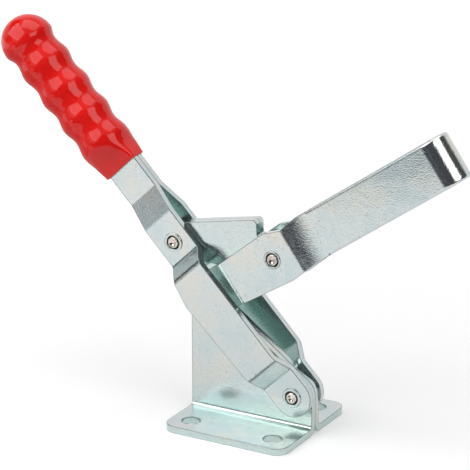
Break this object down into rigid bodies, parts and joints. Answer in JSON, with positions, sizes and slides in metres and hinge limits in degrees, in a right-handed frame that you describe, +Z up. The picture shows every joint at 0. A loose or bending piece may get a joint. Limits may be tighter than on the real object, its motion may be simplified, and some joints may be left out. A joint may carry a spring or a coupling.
{
  "type": "toggle clamp",
  "caption": "Vertical toggle clamp with a flanged base, a two-strip hand lever with a red rippled grip, a link and a U-shaped clamping bar.",
  "frame": {"origin": "centre of the four base holes, on the underside of the base flanges", "axes": "+X along the clamping bar, away from the grip; +Y square to the upright plates; +Z up from the mounting surface"},
  "size_m": [0.2304, 0.0606, 0.1722],
  "materials": {
    "zinc_steel": "bright zinc plate with a faint mottle",
    "rivet_steel": "plain steel, slightly brown",
    "grip_plastic": "glossy red dipped plastic"
  },
  "bodies": {
    "base": {"base_plate_near": "zinc_steel", "base_plate_far": "zinc_steel"},
    "handle": {"handle_strip_near": "zinc_steel", "handle_strip_far": "zinc_steel", "grip": "grip_plastic", "strip_rivet_low": "rivet_steel", "strip_rivet_high": "rivet_steel", "handle_bushing": "zinc_steel", "handle_pin": "rivet_steel", "link_bushing": "zinc_steel", "link_pin": "rivet_steel"},
    "bar": {"clamp_bar": "zinc_steel", "bar_bushing": "zinc_steel", "bar_pin": "rivet_steel", "nose_bushing": "zinc_steel", "nose_pin": "rivet_steel", "washer_near": "zinc_steel", "washer_far": "zinc_steel"},
    "link": {"link_plate_near": "zinc_steel", "link_plate_far": "zinc_steel"}
  },
  "joints": [
    {"name": "handle_hinge", "type": "hinge", "parent": "base", "child": "handle", "pos_m": [0.0225, 0, 0.0178], "axis": [0, 1, 0], "range_deg": [0, 42.4]},
    {"name": "bar_hinge", "type": "hinge", "parent": "base", "child": "bar", "pos_m": [-0.021, 0, 0.057], "axis": [0, 1, 0], "range_deg": [0, 40.9]},
    {"name": "link_hinge", "type": "hinge", "parent": "handle", "child": "link", "pos_m": [-0.03741, 0, 0.08006], "axis": [0, 1, 0], "range_deg": [0, 48]}
  ],
  "couplings": [
    {"joint": "bar_hinge", "follows": "handle_hinge", "ratio": 0.9636},
    {"joint": "link_hinge", "follows": "handle_hinge", "ratio": 1.1297}
  ]
}
